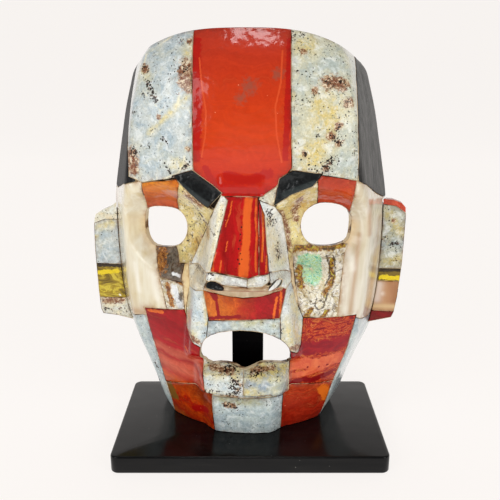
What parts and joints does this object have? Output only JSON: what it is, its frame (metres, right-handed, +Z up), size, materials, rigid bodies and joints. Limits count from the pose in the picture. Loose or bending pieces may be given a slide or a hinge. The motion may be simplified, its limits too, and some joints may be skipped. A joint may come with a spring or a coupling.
{
  "type": "mosaic face mask on stand",
  "caption": "Mosaic stone face mask with ears, open eyes and mouth, hung by a wire at its hollow back on the forked post of a black lacquered stand.",
  "frame": {"origin": "centre of the underside of the stand's base board", "axes": "+Z up, the mask faces -Y, +X to the right of someone who looks at the face"},
  "size_m": [0.1614, 0.0867, 0.205],
  "materials": {
    "red_stone": "polished, lacquered",
    "orange_stone": "polished, lacquered",
    "pale_grey_stone": "polished, lacquered",
    "cream_onyx": "polished, lacquered",
    "yellow_stone": "polished, lacquered",
    "black_obsidian": "polished, lacquered",
    "pearl_shell": "polished, lacquered",
    "gold_shell": "polished, lacquered",
    "brown_stone": "polished, lacquered",
    "blue_grey_stone": "polished, lacquered",
    "core_resin": "matt, brushed on",
    "black_lacquered_wood": "high gloss black lacquer",
    "steel_wire": "dull zinc",
    "screw_steel": "yellow zinc"
  },
  "bodies": {
    "stand": {"stand_base": "black_lacquered_wood", "stand_post": "black_lacquered_wood", "post_screw_left": "screw_steel", "post_screw_right": "screw_steel"},
    "mask": {"brow_left": "black_obsidian", "brow_right": "black_obsidian", "forehead_center": "red_stone", "forehead_left": "pale_grey_stone", "forehead_right": "pale_grey_stone", "lid_left": "orange_stone", "lid_right": "orange_stone", "glabella_right": "cream_onyx", "nose_flank_left": "pale_grey_stone", "nose_flank_right": "pale_grey_stone", "nose_ridge": "red_stone", "nose_ridge_right": "red_stone", "nostril_bead_left": "black_obsidian", "nostril_bead_right": "black_obsidian", "nose_tip_left": "pale_grey_stone", "nose_tip_right": "pale_grey_stone", "nose_wing_left": "cream_onyx", "nose_wing_right": "pale_grey_stone", "nose_base_band": "brown_stone", "philtrum": "orange_stone", "upper_lip": "blue_grey_stone", "nasolabial_left": "pale_grey_stone", "nasolabial_right": "pale_grey_stone", "lower_lip_left": "pale_grey_stone", "lower_lip_right": "pale_grey_stone", "chin": "blue_grey_stone", "jaw_left_upper": "red_stone", "jaw_left_lower": "orange_stone", "jaw_right_upper": "red_stone", "jaw_right_lower": "orange_stone", "inner_eye_left": "yellow_stone", "inner_eye_right": "yellow_stone", "shell_right": "pearl_shell", "shell_left_upper": "brown_stone", "shell_left_lower": "pearl_shell", "cheek_strip_left": "cream_onyx", "cheek_strip_right": "cream_onyx", "cheek_left": "cream_onyx", "cheek_right": "cream_onyx", "temple_left": "black_obsidian", "temple_right": "black_obsidian", "jaw_edge_left": "pale_grey_stone", "jaw_edge_right": "pale_grey_stone", "ear_left_upper": "pale_grey_stone", "ear_left_gold": "gold_shell", "ear_left_lower": "cream_onyx", "ear_left_top": "cream_onyx", "ear_right_upper": "pale_grey_stone", "ear_right_gold": "gold_shell", "ear_right_shell": "brown_stone", "ear_right_lower": "red_stone", "ear_right_top": "orange_stone", "mask_core": "core_resin", "hanger_eye_left": "steel_wire", "hanger_eye_right": "steel_wire", "hanger_wire": "steel_wire"}
  },
  "joints": [
    {"name": "mask_lift", "type": "slide", "parent": "stand", "child": "mask", "axis": [0, 0, 1], "range_m": [0, 0.165]}
  ]
}
